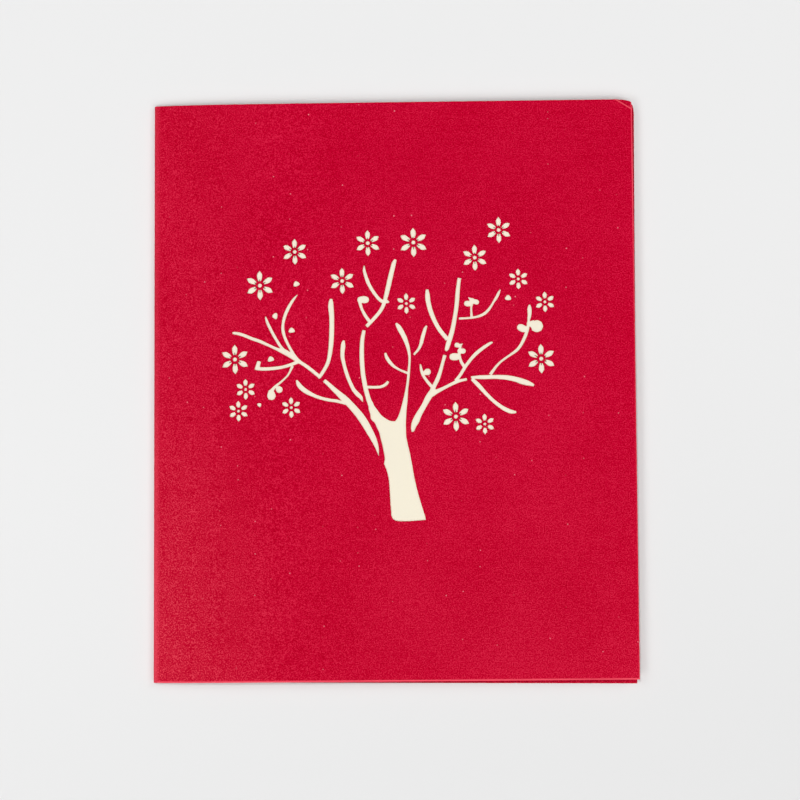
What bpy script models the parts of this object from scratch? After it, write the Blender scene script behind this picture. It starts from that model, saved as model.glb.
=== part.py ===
"""Pop up card, closed and lying on its back: a folded card cover with a blossom tree cut through its front,
a plain liner folded inside it, and three folded pop-up trees between the two halves of the liner.

Each sheet is made the way a paper workshop makes it. A flat blank is cut to its outline, the openings are
cut through it, and the finished blank is folded. Metres, +X from spine to fore-edge, +Y up the page, +Z up.
The middle of the underside of the whole card's box is the origin."""

import math

import bmesh
import bpy
import numpy as np

# Sheets. The front half of the cover reaches a little further out than the back half
page_width = 0.150
page_height = 0.1803
front_overhang = 0.0004
cover_thickness = 0.00030
liner_thickness = 0.00016
layer_thickness = 0.00020
sheet_gap = 0.00020
liner_inset = 0.0025
corner_radius = 0.0016
corner_steps = 3

# The closed card: thick at its spine, thicker over the pop-up trees
spine_thickness = 0.0025
closed_rise = 0.0019
rise_length = 0.014
rise_reach = 0.080
rise_station_shares = (0, 0.04, 0.09, 0.15, 0.23, 0.34, 0.50, 0.72, 1)
spine_steps = 8

# The fold is a little out of square, so the front panel comes down turned by twice this
fold_skew = math.radians(0.30)

# The blossom tree: a square on the front panel, seen from the front, and its turn from the fold
tree_size = 0.664 * page_width
tree_left = 0.171 * page_width
tree_foot = 0.2654 * page_height
tree_turn = math.radians(-0.32)
cut_tolerance = 0.00005
cut_reach = 0.004

# Boughs and twigs: places along the middle of each, in thousandths of tree_size, across, up and wide
bough_shares = (
    # West side, from the outermost tip to the joint above the trunk
    ((-13, 609, 8), (0, 608, 10), (22, 602, 11), (47, 592, 11), (75, 582, 11), (106, 567, 12), (134, 555, 14),
     (162, 541, 13), (181, 530, 14), (200, 518, 12), (222, 503, 12), (244, 486, 12),
     (260, 473, 12), (265, 469, 8)),
    ((91, 661, 4), (95, 648, 9), (108, 619, 10), (122, 594, 10), (136, 571, 10),
     (150, 555, 10), (178, 537, 13)),
    ((191, 729, 4), (178, 713, 9), (163, 688, 11), (151, 659, 11), (146, 634, 10), (147, 612, 11),
     (155, 588, 10), (167, 563, 10), (179, 544, 10), (196, 522, 10)),
    ((297, 717, 7), (296, 706, 15), (298, 675, 16), (299, 634, 16), (298, 594, 16), (295, 556, 15),
     (289, 522, 13), (278, 497, 12), (262, 472, 11), (258, 466, 6)),
    ((58, 499, 7), (63, 498, 11), (84, 496, 12), (109, 497, 12), (138, 501, 10),
     (159, 506, 12), (178, 512, 12), (195, 519, 13)),
    ((72, 521, 13), (67, 501, 15)),
    ((177, 506, 10), (170, 491, 8), (161, 475, 7), (147, 461, 7), (131, 448, 8), (119, 437, 10),
     (108, 423, 15)),
    # Below it, the long low bough and the curl that runs to it
    ((189, 462, 5), (195, 449, 14), (209, 433, 16), (226, 422, 15), (244, 413, 12), (266, 405, 11),
     (291, 399, 11), (318, 395, 11), (345, 387, 9)),
    ((275, 461, 12), (294, 444, 14), (309, 430, 16), (325, 415, 19), (341, 401, 22), (356, 386, 22),
     (372, 368, 23), (388, 349, 24), (403, 326, 25), (418, 301, 22), (430, 278, 19), (439, 257, 14),
     (444, 238, 8), (447, 224, 2)),
    ((337, 586, 6), (335, 575, 14), (333, 553, 14), (333, 531, 13), (339, 506, 12), (347, 478, 12),
     (357, 454, 12), (368, 431, 13), (382, 415, 14), (391, 406, 12), (397, 393, 3)),
    # The two forks of the trunk
    ((400, 618, 11), (397, 603, 13), (394, 581, 14), (393, 550, 15), (394, 516, 15), (397, 481, 15),
     (402, 453, 14), (407, 428, 15), (415, 400, 16), (423, 381, 19)),
    ((406, 439, 10), (434, 439, 10), (452, 440, 10), (464, 445, 10), (472, 452, 10), (476, 458, 8)),
    ((499, 640, 6), (508, 628, 15), (519, 609, 16), (528, 591, 15), (534, 574, 13), (539, 557, 11),
     (542, 538, 9), (542, 516, 8), (540, 491, 8), (538, 466, 9), (535, 441, 9),
     (532, 417, 12), (529, 397, 15)),
    ((466, 547, 7), (470, 534, 11), (478, 521, 12), (487, 510, 11), (498, 501, 9), (512, 493, 8),
     (527, 487, 8), (541, 481, 9)),
    # The crown
    ((499, 840, 8), (493, 828, 14), (487, 803, 15), (481, 775, 15), (474, 747, 15), (468, 722, 14),
     (461, 698, 13), (451, 678, 12), (438, 662, 12), (423, 645, 12), (407, 629, 12)),
    ((400, 821, 4), (400, 806, 10), (404, 791, 11), (409, 775, 12), (416, 759, 12), (425, 744, 11),
     (436, 728, 11), (447, 715, 11), (459, 706, 12)),
    ((464, 709, 16), (472, 707, 12), (479, 705, 4)),
    ((384, 714, 11), (388, 699, 11), (393, 684, 10), (401, 669, 10), (410, 654, 11), (418, 644, 11)),
    ((596, 632, 6), (591, 622, 11), (586, 605, 12), (581, 588, 12), (577, 572, 11),
     (569, 556, 9), (555, 540, 7)),
    # East of the trunk
    ((551, 299, 7), (553, 306, 12), (555, 317, 17), (562, 333, 22), (570, 351, 20), (581, 370, 18),
     (592, 389, 18), (602, 408, 20), (612, 423, 20), (619, 436, 15)),
    ((604, 411, 14), (613, 418, 18), (628, 426, 14), (645, 434, 12), (669, 446, 12),
     (689, 456, 12), (706, 461, 10), (722, 464, 9)),
    ((653, 540, 12), (648, 525, 12), (642, 502, 12), (635, 478, 13), (628, 460, 14),
     (619, 442, 14), (612, 427, 16)),
    ((576, 512, 5), (578, 500, 9), (583, 480, 10), (594, 462, 10), (609, 444, 11), (617, 435, 10)),
    ((686, 458, 12), (697, 472, 11), (708, 489, 11), (719, 507, 11), (732, 524, 11), (748, 542, 12),
     (763, 555, 12), (781, 568, 11), (795, 577, 9), (802, 580, 6)),
    ((713, 503, 11), (703, 520, 10), (698, 538, 9), (698, 553, 9), (701, 567, 9)),
    ((597, 746, 9), (598, 733, 14), (599, 714, 16), (604, 692, 15), (611, 669, 15), (622, 645, 15),
     (634, 622, 14), (648, 604, 14), (661, 588, 14)),
    ((698, 782, 12), (696, 766, 12), (693, 741, 14), (691, 712, 14), (687, 678, 14), (681, 644, 14),
     (675, 614, 15), (668, 591, 16), (663, 573, 15), (658, 558, 13), (655, 552, 8)),
    ((696, 654, 8), (719, 655, 8), (741, 657, 8), (761, 662, 9), (777, 670, 10), (791, 684, 9),
     (803, 704, 9), (815, 722, 10), (822, 737, 8), (826, 745, 4)),
    ((736, 656, 9), (736, 702, 9)),
    ((917, 698, 6), (917, 684, 14), (917, 666, 13), (914, 647, 10), (912, 628, 11), (907, 609, 11),
     (899, 589, 11), (890, 572, 10), (878, 556, 10), (859, 542, 8), (841, 529, 8), (823, 515, 8),
     (808, 497, 8), (794, 478, 12)),
    ((733, 470, 7), (753, 470, 12), (784, 471, 13), (816, 471, 14), (847, 469, 16), (872, 464, 17),
     (894, 457, 19), (914, 451, 16), (931, 445, 8)),
    ((736, 466, 11), (752, 451, 13), (770, 431, 12), (791, 409, 12), (809, 392, 12), (828, 378, 13),
     (847, 367, 14), (862, 362, 13), (876, 361, 6)),
)

# Trunk: its outline, across and up, from the left shoulder down, round the foot and up to the crotch
trunk_shares = (
    (411, 394), (415, 369), (420, 352), (422, 339), (426, 334), (433, 328), (439, 315), (446, 301),
    (452, 279), (458, 255), (462, 236), (465, 214), (463, 200), (469, 185), (474, 169), (478, 147),
    (480, 122), (482, 91), (485, 53), (488, 33), (495, 25), (506, 22), (525, 21), (553, 22), (578, 24),
    (594, 25), (591, 40), (585, 58), (578, 81), (571, 106), (564, 131), (559, 156), (554, 181), (548, 212),
    (543, 239), (537, 264), (533, 284), (532, 306), (532, 341), (534, 369), (537, 400), (522, 400),
    (518, 384), (514, 369), (509, 354), (503, 341), (497, 333), (481, 335), (468, 342), (454, 353),
    (444, 366), (433, 381), (424, 394),
)

# Buds: two round ends each, across, up and wide
bud_shares = (
    ((110, 422, 22), (111, 411, 28)), ((134, 433, 21), (136, 431, 22)), ((388, 713, 21), (405, 713, 23)),
    ((589, 483, 14), (599, 487, 22)), ((677, 534, 23), (694, 535, 21)), ((699, 552, 17), (710, 552, 18)),
    ((690, 571, 17), (699, 568, 13)), ((699, 569, 13), (708, 575, 4)), ((721, 701, 19), (734, 700, 17)),
    ((736, 711, 16), (752, 705, 17)), ((738, 711, 16), (727, 719, 5)), ((888, 626, 23), (904, 620, 21)),
    ((938, 630, 39), (941, 630, 39)), ((914, 638, 14), (928, 636, 27)),
)
bud_steps = 5

# Loose petals: rounded triangles, across, up and wide, with the turn of each in shares of a full turn
loose_petal_shares = (
    (187, 764, 22, 0.30), (120, 662, 22, 0.5), (173, 618, 22, 0.27),
    (108, 528, 22, 0.29), (850, 720, 22, 0.25), (74, 384, 16, 0.11),
)
loose_petal_profile_shares = (
    (0, 0.48), (0.19, 0.40), (0.31, 0.59), (0.37, 0.60), (0.63, 0.60), (0.69, 0.59), (0.81, 0.40),
)

# Blossoms: centres, across and up, for each of three sizes
blossom_turn = math.radians(31.8)
petal_count = 6
large_blossom_shares = ((73, 758), (554, 893), (953, 528), (-4, 526), (687, 347))
medium_blossom_shares = ((182, 864), (331, 772), (411, 891), (746, 845), (821, 932))
small_blossom_shares = ((532, 701), (882, 778), (965, 706), (30, 432), (8, 364), (173, 375), (777, 324))
# Inner and outer end of a petal, its width and the middle hole's width, in thousandths of tree_size
large_petal_shares = (13.4, 47.5, 17.4, 15.0)
medium_petal_shares = (11.9, 42.2, 16.0, 14.4)
small_petal_shares = (10.9, 33.4, 14.0, 11.0)
petal_profile_shares = ((0, 0.55), (0.36, 0.97), (0.60, 1.0), (1, 0))
middle_hole_steps = 6

# Pop-up trees: folded sheets whose foot lines leave the spine at this angle, one below the other
foot_angle = math.radians(60)
top_foot = 0.136
foot_pitch = 0.030
crease_radius = 0.0004
crease_steps = 4
tab_depth = 0.009
tab_slant = 0.006
notch_reach = 0.008
notch_height = 0.014
ground_height = 0.011
step_start = 0.004
step_run = 0.0125
step_station_shares = (0, 0.25, 0.5, 0.75, 1)
trunk_half_width = 0.0042
trunk_flare_share = 0.55
crown_middle_share = 0.63
crown_half_height_share = 0.37
crown_bottom_turn = math.radians(-62)
scallop_depth_share = 0.07
ground_top_shares = ((0.34, 1.0), (0.48, 0.78), (0.62, 0.92), (0.78, 0.66), (0.90, 0.74), (1.0, 0.42))
window_lobe_share = 0.62
window_petals = 6
# Name, height, crown half width, reach of the ground strip, scallops, and blossom windows in the crown as
# across and up in shares of its half sizes and wide in shares of its half width
popup_trees = (
    ("popup_tree_back", 0.100, 0.046, 0.058, 7,
     ((0.30, 0.55, 0.17), (0.66, 0.22, 0.14), (0.30, 0.02, 0.15), (0.62, -0.34, 0.16), (0.24, -0.55, 0.12))),
    ("popup_tree_middle", 0.078, 0.037, 0.050, 6,
     ((0.32, 0.48, 0.17), (0.66, 0.06, 0.16), (0.28, -0.14, 0.14), (0.52, -0.52, 0.13))),
    ("popup_tree_front", 0.052, 0.027, 0.042, 5,
     ((0.36, 0.34, 0.19), (0.66, -0.18, 0.17), (0.30, -0.40, 0.14))),
)

# Colours, linear
card_red = (0.515, 0.0045, 0.028)
cream = (0.91, 0.83, 0.68)

weld = 0.0000002
thousandth = 1 / 1000
bend_middle = spine_thickness / 2
half_turn = math.pi
quarter_turn = math.pi / 2


def clear_scene():
    for thing in list(bpy.data.objects):
        bpy.data.objects.remove(thing, do_unlink=True)


def new_collection(name, shown):
    group = bpy.data.collections.new(name)
    bpy.context.scene.collection.children.link(group)
    group.hide_render = not shown
    return group


def turned(points, angle):
    points = np.array(points, float)
    cos, sin = math.cos(angle), math.sin(angle)
    return np.column_stack([points[:, 0] * cos - points[:, 1] * sin, points[:, 0] * sin + points[:, 1] * cos])


def round_points(count, radius, start=0.0, sweep=None):
    """Points on an arc, or round a whole circle."""
    if sweep is None:
        angles = start + np.arange(count) * 2 * half_turn / count
    else:
        angles = np.linspace(start, start + sweep, count)
    return np.column_stack([np.cos(angles), np.sin(angles)]) * radius


# Height of the closed card


def top_height(across):
    """Height of the front's outer face, straight between its stations so that each strip stays flat."""
    stations = np.array(rise_station_shares) * rise_reach
    settled = 1 - np.exp(-stations / rise_length)
    heights = spine_thickness + closed_rise * settled / settled[-1]
    return np.interp(np.asarray(across) - bend_middle, stations, heights)


def rise_lines():
    return [bend_middle + share * rise_reach for share in rise_station_shares[1:]]


# Flat blanks


def flat_sheet(name, loops, thickness, group):
    """A flat closed sheet between its outline and its holes, as a mesh object."""
    curve = bpy.data.curves.new(name, "CURVE")
    curve.dimensions = "2D"
    curve.fill_mode = "BOTH"
    curve.extrude = thickness / 2
    for loop in loops:
        spline = curve.splines.new("POLY")
        spline.points.add(len(loop) - 1)
        for point, place in zip(spline.points, loop):
            point.co = (place[0], place[1], 0, 1)
        spline.use_cyclic_u = True
    holder = bpy.data.objects.new(name, curve)
    group.objects.link(holder)
    bpy.context.view_layer.update()
    graph = bpy.context.evaluated_depsgraph_get()
    mesh = bpy.data.meshes.new_from_object(holder.evaluated_get(graph))
    mesh.transform(holder.matrix_world)
    bpy.data.objects.remove(holder, do_unlink=True)
    work = bmesh.new()
    work.from_mesh(mesh)
    bmesh.ops.remove_doubles(work, verts=work.verts, dist=weld)
    bmesh.ops.recalc_face_normals(work, faces=work.faces)
    work.to_mesh(mesh)
    work.free()
    sheet = bpy.data.objects.new(name, mesh)
    group.objects.link(sheet)
    return sheet


def through(sheet, cutters):
    """Cuts the openings through a flat sheet and keeps the result as its mesh."""
    cut = sheet.modifiers.new("openings", "BOOLEAN")
    cut.solver = "EXACT"
    cut.operation = "DIFFERENCE"
    cut.operand_type = "COLLECTION"
    cut.collection = cutters
    bpy.context.view_layer.update()
    graph = bpy.context.evaluated_depsgraph_get()
    mesh = bpy.data.meshes.new_from_object(sheet.evaluated_get(graph))
    sheet.modifiers.clear()
    sheet.data = mesh


def slice_mesh(work, place, normal, side=None):
    """New edges where a plane crosses the mesh, on one side of the crease or on both."""
    verts = [v for v in work.verts if side is None or v.co.x * side > -weld]
    inside = set(verts)
    edges = [e for e in work.edges if all(v in inside for v in e.verts)]
    faces = [f for f in work.faces if all(v in inside for v in f.verts)]
    bmesh.ops.bisect_plane(work, geom=verts + edges + faces, dist=weld, plane_co=place, plane_no=normal)


def folded(sheet, slices, fold):
    """Slices the flat sheet where it bends, then moves each vertex to its folded place."""
    work = bmesh.new()
    work.from_mesh(sheet.data)
    bmesh.ops.triangulate(work, faces=work.faces)
    for place, normal, side in slices:
        slice_mesh(work, place, normal, side)
    flat = np.array([v.co for v in work.verts])
    for vertex, place in zip(work.verts, fold(flat)):
        vertex.co = place
    bmesh.ops.triangulate(work, faces=work.faces)
    bmesh.ops.recalc_face_normals(work, faces=work.faces)
    work.to_mesh(sheet.data)
    work.free()


def bend(along, inward, radius, across_of, edge_line, middle_line):
    """Closed place of a sheet bent over a crease: how far from it, and how high.

    along is the way from the crease on the flat sheet, positive on the back half. across_of turns that way
    into the distance from the spine, and edge_line and middle_line give the heights of the back half and of
    the middle of the closed card at a distance from the spine."""
    half_arc = quarter_turn * radius
    turn = np.clip(along / radius, -quarter_turn, quarter_turn)
    way = np.where(np.abs(along) < half_arc, -(radius - inward) * np.cos(turn), np.abs(along) - half_arc)
    across = across_of(np.maximum(way, 0))
    half = middle_line(across) - edge_line(across)
    high = middle_line(across) - (half - inward) * np.sin(turn)
    return way, high


# Sheets folded at the spine


def spine_fold(deep):
    """The fold of a sheet whose middle lies this deep under the card's outer face."""
    radius = bend_middle - deep

    def fold(flat):
        way, high = bend(
            flat[:, 0], flat[:, 2], radius,
            lambda way: way + bend_middle,
            lambda across: np.full_like(across, deep),
            lambda across: top_height(across) / 2,
        )
        return np.column_stack([way + bend_middle, flat[:, 1], high])

    return fold


def spine_slices(deep, steps):
    radius = bend_middle - deep
    half_arc = quarter_turn * radius
    slices = [((way, 0, 0), (1, 0, 0), None) for way in np.linspace(-half_arc, half_arc, steps + 1)]
    for line in rise_lines():
        slices.append(((-(line - bend_middle + half_arc), 0, 0), (1, 0, 0), None))
    return slices


def make_cover(group, cutters):
    deep = cover_thickness / 2
    half_arc = quarter_turn * (bend_middle - deep)
    reach = page_width - bend_middle + half_arc
    corner = round_points(corner_steps + 1, corner_radius, quarter_turn, quarter_turn)
    corner = corner + (corner_radius - reach, page_height - corner_radius)
    corner[:, 0] -= front_overhang
    outline = [(-reach - front_overhang, 0), (reach, 0), (reach, page_height), *corner]
    cover = flat_sheet("cover", [turned(outline, -fold_skew)], cover_thickness, group)
    through(cover, cutters)
    folded(cover, spine_slices(deep, spine_steps), spine_fold(deep))
    return cover


def make_liner(group):
    deep = cover_thickness + sheet_gap + liner_thickness / 2
    half_arc = quarter_turn * (bend_middle - deep)
    reach = page_width - liner_inset - bend_middle + half_arc
    low, high = liner_inset, page_height - liner_inset
    outline = [(-reach, low), (reach, low), (reach, high), (-reach, high)]
    liner = flat_sheet("liner", [outline], liner_thickness, group)
    folded(liner, spine_slices(deep, spine_steps), spine_fold(deep))
    return liner


# The tree's openings, drawn as seen from the front and laid mirrored on the flat blank


def on_blank(places):
    """Places of the tree's square, in shares of its size, on the flat cover."""
    half_arc = quarter_turn * (bend_middle - cover_thickness / 2)
    points = turned(np.array(places) * tree_size, tree_turn) + (tree_left, tree_foot)
    return np.column_stack([-(points[:, 0] - bend_middle + half_arc), points[:, 1]])


def thinned(line):
    """The line without the points that it can do without, within the cutting tolerance."""
    if len(line) < 3:
        return list(line)
    start, run = line[0], line[-1] - line[0]
    off = np.abs(run[0] * (line[:, 1] - start[1]) - run[1] * (line[:, 0] - start[0])) / np.hypot(*run)
    worst = int(off.argmax())
    if off[worst] * tree_size < cut_tolerance:
        return [line[0], line[-1]]
    return thinned(line[: worst + 1])[:-1] + thinned(line[worst:])


def bough_outline(stations):
    """Both sides of a bough, on a smooth curve through its stations."""
    line = np.array(stations) * thousandth
    wider = np.vstack([2 * line[0] - line[1], line, 2 * line[-1] - line[-2]])
    between = (9 * (line[:-1] + line[1:]) - wider[:-3] - wider[3:]) / 16
    smooth = np.empty((2 * len(line) - 1, 3))
    smooth[0::2] = line
    smooth[1::2] = between
    ahead = np.gradient(smooth[:, :2], axis=0)
    ahead /= np.hypot(ahead[:, 0], ahead[:, 1])[:, None]
    out = np.column_stack([-ahead[:, 1], ahead[:, 0]]) * smooth[:, 2:] / 2
    one, other = smooth[:, :2] + out, smooth[:, :2] - out
    return thinned(one) + thinned(other[::-1])


def bud_outline(first, second):
    """Two round ends joined by straight sides."""
    first, second = np.array(first) * thousandth, np.array(second) * thousandth
    way = math.atan2(second[1] - first[1], second[0] - first[0])
    near = round_points(bud_steps, first[2] / 2, way + quarter_turn, half_turn) + first[:2]
    far = round_points(bud_steps, second[2] / 2, way - quarter_turn, half_turn) + second[:2]
    return [*near, *far]


def loose_petal_outline(across, up, wide, turn):
    """A rounded triangle."""
    places = [(math.cos(2 * half_turn * way) * far, math.sin(2 * half_turn * way) * far)
              for way, far in loose_petal_profile_shares]
    return turned(places, 2 * half_turn * turn) * wide * thousandth + np.array((across, up)) * thousandth


def blossom_loops(centre, sizes):
    """Petals that point outwards round a small middle hole."""
    inner, outer, wide, middle = np.array(sizes) * thousandth
    side = [(inner + (outer - inner) * along, wide * across / 2) for along, across in petal_profile_shares]
    petal = side + [(along, -across) for along, across in reversed(side[:-1])]
    turns = [blossom_turn + 2 * half_turn * count / petal_count for count in range(petal_count)]
    loops = [turned(petal, turn) for turn in turns]
    loops.append(round_points(middle_hole_steps, middle / 2))
    return [loop + np.array(centre) * thousandth for loop in loops]


def make_cutters(group):
    """One closed prism for each bough, bud, loose petal and blossom."""
    shapes = [[bough_outline(stations)] for stations in bough_shares]
    shapes.append([np.array(trunk_shares) * thousandth])
    shapes += [[bud_outline(*ends)] for ends in bud_shares]
    shapes += [[loose_petal_outline(*petal)] for petal in loose_petal_shares]
    for centres, sizes in (
        (large_blossom_shares, large_petal_shares),
        (medium_blossom_shares, medium_petal_shares),
        (small_blossom_shares, small_petal_shares),
    ):
        shapes += [blossom_loops(centre, sizes) for centre in centres]
    for loops in shapes:
        cutter = flat_sheet("opening", [on_blank(loop) for loop in loops], cut_reach, group)
        cutter.display_type = "WIRE"
        cutter.hide_render = True


# Pop-up trees


def half_outline(high, crown, ground, scallops):
    """The right half of a pop-up tree, from the top of its crease round to the notch at its foot."""
    middle, tall = high * crown_middle_share, high * crown_half_height_share
    turns = np.linspace(quarter_turn, crown_bottom_turn, 2 * scallops + 1)
    swell = 1 - scallop_depth_share * (np.arange(len(turns)) % 2 == 0)
    leaf = [
        (crown * size * math.cos(turn), middle + tall * size * math.sin(turn))
        for turn, size in zip(turns, swell)
    ]
    leaf[0] = (0, leaf[0][1])
    trunk_top = leaf[-1][1]
    flare_top = ground_height + trunk_flare_share * (trunk_top - ground_height)
    trunk = [(trunk_half_width, trunk_top + trunk_half_width / 2), (trunk_half_width, flare_top)]
    hills = [(ground * along, ground_height * up) for along, up in ground_top_shares]
    tab = [
        (ground, 0),
        (ground - tab_slant, -tab_depth),
        (notch_reach + tab_slant, -tab_depth),
        (notch_reach, 0),
    ]
    return leaf + trunk + hills + tab + [(0, notch_height)]


def window_loop(across, up, wide):
    """A six-lobed blossom window."""
    loop = round_points(2 * window_petals, wide)
    loop[::2] *= window_lobe_share
    return loop + (across, up)


def popup_depth(level_steps):
    """Depth of the sheet's middle under the card's outer face, at a way up from its foot line."""
    first = cover_thickness + sheet_gap + liner_thickness + sheet_gap + layer_thickness / 2
    steps = np.array(step_station_shares)
    ease = steps * steps * (3 - 2 * steps)

    def deep(up):
        below = [np.interp((up - start - step_start) / step_run, steps, ease) for start in level_steps]
        return first + (layer_thickness + sheet_gap) * np.sum(below, axis=0)

    return deep


def popup_fold(foot, level_steps):
    deep_at = popup_depth(level_steps)
    sin, cos = math.sin(foot_angle), math.cos(foot_angle)

    def fold(flat):
        up = flat[:, 1]
        deep = deep_at(up)
        way, high = bend(
            flat[:, 0], flat[:, 2], crease_radius,
            lambda way: way * sin + up * cos,
            lambda across: deep,
            lambda across: top_height(across) / 2,
        )
        return np.column_stack([way * sin + up * cos, foot + way * cos - up * sin, high])

    return fold


def popup_slices(level_steps):
    half_arc = quarter_turn * crease_radius
    slices = [((way, 0, 0), (1, 0, 0), None) for way in np.linspace(-half_arc, half_arc, crease_steps + 1)]
    for start in level_steps:
        for share in step_station_shares:
            slices.append(((0, start + step_start + share * step_run, 0), (0, 1, 0), None))
    sin, cos = math.sin(foot_angle), math.cos(foot_angle)
    for line in rise_lines():
        slices.append(((-half_arc - line / sin, 0, 0), (-sin, cos, 0), -1))
    return slices


def make_popup_tree(index, group):
    name, high, crown, ground, scallops, windows = popup_trees[index]
    right = half_outline(high, crown, ground, scallops)
    left = [(-across, up) for across, up in reversed(right[1:-1])]
    loops = [right + left]
    middle, tall = high * crown_middle_share, high * crown_half_height_share
    for across, up, wide in windows:
        for side in (-1, 1):
            loops.append(window_loop(side * across * crown, middle + up * tall, wide * crown))
    sheet = flat_sheet(name, loops, layer_thickness, group)
    below = len(popup_trees) - 1 - index
    level_steps = [step * foot_pitch * math.sin(foot_angle) for step in range(below)]
    folded(sheet, popup_slices(level_steps), popup_fold(top_foot - index * foot_pitch, level_steps))
    return sheet


def paint(thing, colour, roughness, sheen):
    material = bpy.data.materials.new(thing.name)
    material.use_nodes = True
    shader = material.node_tree.nodes["Principled BSDF"]
    shader.inputs["Base Color"].default_value = (*colour, 1)
    shader.inputs["Roughness"].default_value = roughness
    shader.inputs["Sheen Weight"].default_value = sheen
    thing.data.materials.clear()
    thing.data.materials.append(material)


def settle(things):
    """Turns the card square to its back panel and puts the origin under the middle of its box."""
    for thing in things:
        points = np.array([v.co for v in thing.data.vertices])
        points[:, :2] = turned(points[:, :2], fold_skew)
        thing.data.vertices.foreach_set("co", points.ravel())
    every = np.vstack([[v.co for v in thing.data.vertices] for thing in things])
    middle = (every.min(axis=0) + every.max(axis=0)) / 2
    middle[2] = every[:, 2].min()
    for thing in things:
        points = np.array([v.co for v in thing.data.vertices]) - middle
        thing.data.vertices.foreach_set("co", points.ravel())
        thing.data.update()


def main():
    clear_scene()
    group = new_collection("pop_up_card", True)
    cutters = new_collection("openings", False)
    make_cutters(cutters)
    cover = make_cover(group, cutters)
    for cutter in list(cutters.objects):
        bpy.data.objects.remove(cutter, do_unlink=True)
    bpy.data.collections.remove(cutters)
    liner = make_liner(group)
    trees = [make_popup_tree(index, group) for index in range(len(popup_trees))]
    settle([cover, liner, *trees])
    paint(cover, card_red, 0.42, 0.10)
    for sheet in (liner, *trees):
        paint(sheet, cream, 0.62, 0.05)


main()
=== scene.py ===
# %% [markdown]
# # A pop up card, closed
#
# The card lies closed on its back and is seen almost straight from above. It is a folded sheet of pearly
# red card with a blossom tree cut through its front panel. A plain cream sheet is folded inside it and shows
# through the openings, and three folded pop-up trees lie between the two halves of that liner.
#
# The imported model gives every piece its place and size. This script adds the finish: a finer cover and liner
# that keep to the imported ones, and card and paper made of procedural nodes. A pale table, soft light and a
# camera come last.

# %% The frame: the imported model, in metres
import math

import bmesh
import bpy
import numpy as np
from mathutils import Euler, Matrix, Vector


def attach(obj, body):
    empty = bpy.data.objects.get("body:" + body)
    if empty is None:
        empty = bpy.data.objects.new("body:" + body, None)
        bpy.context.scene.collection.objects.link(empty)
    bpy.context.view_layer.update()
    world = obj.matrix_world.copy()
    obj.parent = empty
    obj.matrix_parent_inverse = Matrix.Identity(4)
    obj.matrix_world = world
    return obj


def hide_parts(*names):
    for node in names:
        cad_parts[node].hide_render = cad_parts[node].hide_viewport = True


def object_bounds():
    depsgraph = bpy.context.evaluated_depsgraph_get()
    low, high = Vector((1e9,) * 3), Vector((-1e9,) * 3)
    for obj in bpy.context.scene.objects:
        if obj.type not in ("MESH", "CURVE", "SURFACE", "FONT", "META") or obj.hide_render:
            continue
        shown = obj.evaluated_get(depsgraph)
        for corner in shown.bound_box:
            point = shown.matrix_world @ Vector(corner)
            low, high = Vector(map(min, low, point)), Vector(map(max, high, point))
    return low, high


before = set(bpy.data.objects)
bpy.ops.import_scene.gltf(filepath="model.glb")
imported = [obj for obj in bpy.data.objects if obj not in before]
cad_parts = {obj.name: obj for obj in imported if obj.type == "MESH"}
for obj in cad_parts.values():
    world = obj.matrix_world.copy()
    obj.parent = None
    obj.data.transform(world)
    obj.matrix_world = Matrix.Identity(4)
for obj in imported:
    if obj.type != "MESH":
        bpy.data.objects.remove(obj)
cad_low, cad_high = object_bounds()
mm = 0.001
print("packed model, mm:", [round(side / mm, 2) for side in cad_high - cad_low])

# %% [markdown]
# ## Sizes of the sheets
#
# The cover is a blank of about 300 mm by 180 mm folded once. Its fold is three tenths of a degree out of
# square, so the front panel comes down turned by twice that, and a sliver of the back panel shows under its
# lower edge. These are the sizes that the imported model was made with, so a cover that is folded here lies
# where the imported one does. How far the front rises is read from the frame's box.

# %% Sheets and fold
page_width = 150 * mm
page_height = 180.3 * mm
front_overhang = 0.4 * mm
cover_thickness = 0.30 * mm
liner_thickness = 0.16 * mm
liner_inset = 2.5 * mm
spine_thickness = 2.5 * mm
spine_middle = spine_thickness / 2
closed_rise = cad_high.z - cad_low.z - spine_thickness
rise_length = 14 * mm
rise_reach = 80 * mm
fold_skew = math.radians(0.30)
quarter_turn = math.pi / 2
hinge = Vector((cad_low.x + page_height * math.sin(fold_skew), cad_low.y, 0))
print("rise from spine to fore-edge, mm:", round(closed_rise / mm, 2))

# %% [markdown]
# ## Wear of the cover
#
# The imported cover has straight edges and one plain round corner. The real one has been handled. Its fore-edge
# isn't quite square, both upper corners have rubbed round, and the front one has been knocked, so that it
# bends down along a short crease. These sizes belong to the finish, so they are only here. All of them stay
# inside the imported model's box.

# %% Worn corners
edge_slant = 0.38 * mm
back_slant, back_pull = 0.80 * mm, 0.09 * mm
front_wear = (2.3 * mm, 0.85 * mm)
back_wear = (0.7 * mm, 3.4 * mm)
corner_along, corner_down = 5.2 * mm, 3.2 * mm
corner_curl = 0.5 * mm
corner_angle = math.radians(24)
corner_run = math.hypot(corner_along, corner_down)
crease_across, crease_up = corner_down / corner_run, corner_along / corner_run


def front_corner():
    """Where the front panel's upper outer corner comes to lie, across and up from the fold."""
    reach = page_width + front_overhang - spine_middle
    cos, sin = math.cos(fold_skew), math.sin(fold_skew)
    return reach * cos - page_height * sin + spine_middle, reach * sin + page_height * cos


corner_across, corner_up = front_corner()
crease_start = crease_across * (corner_across - corner_along) + crease_up * corner_up
print("crease of the knocked corner, mm:", round(corner_run / mm, 2))

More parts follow.
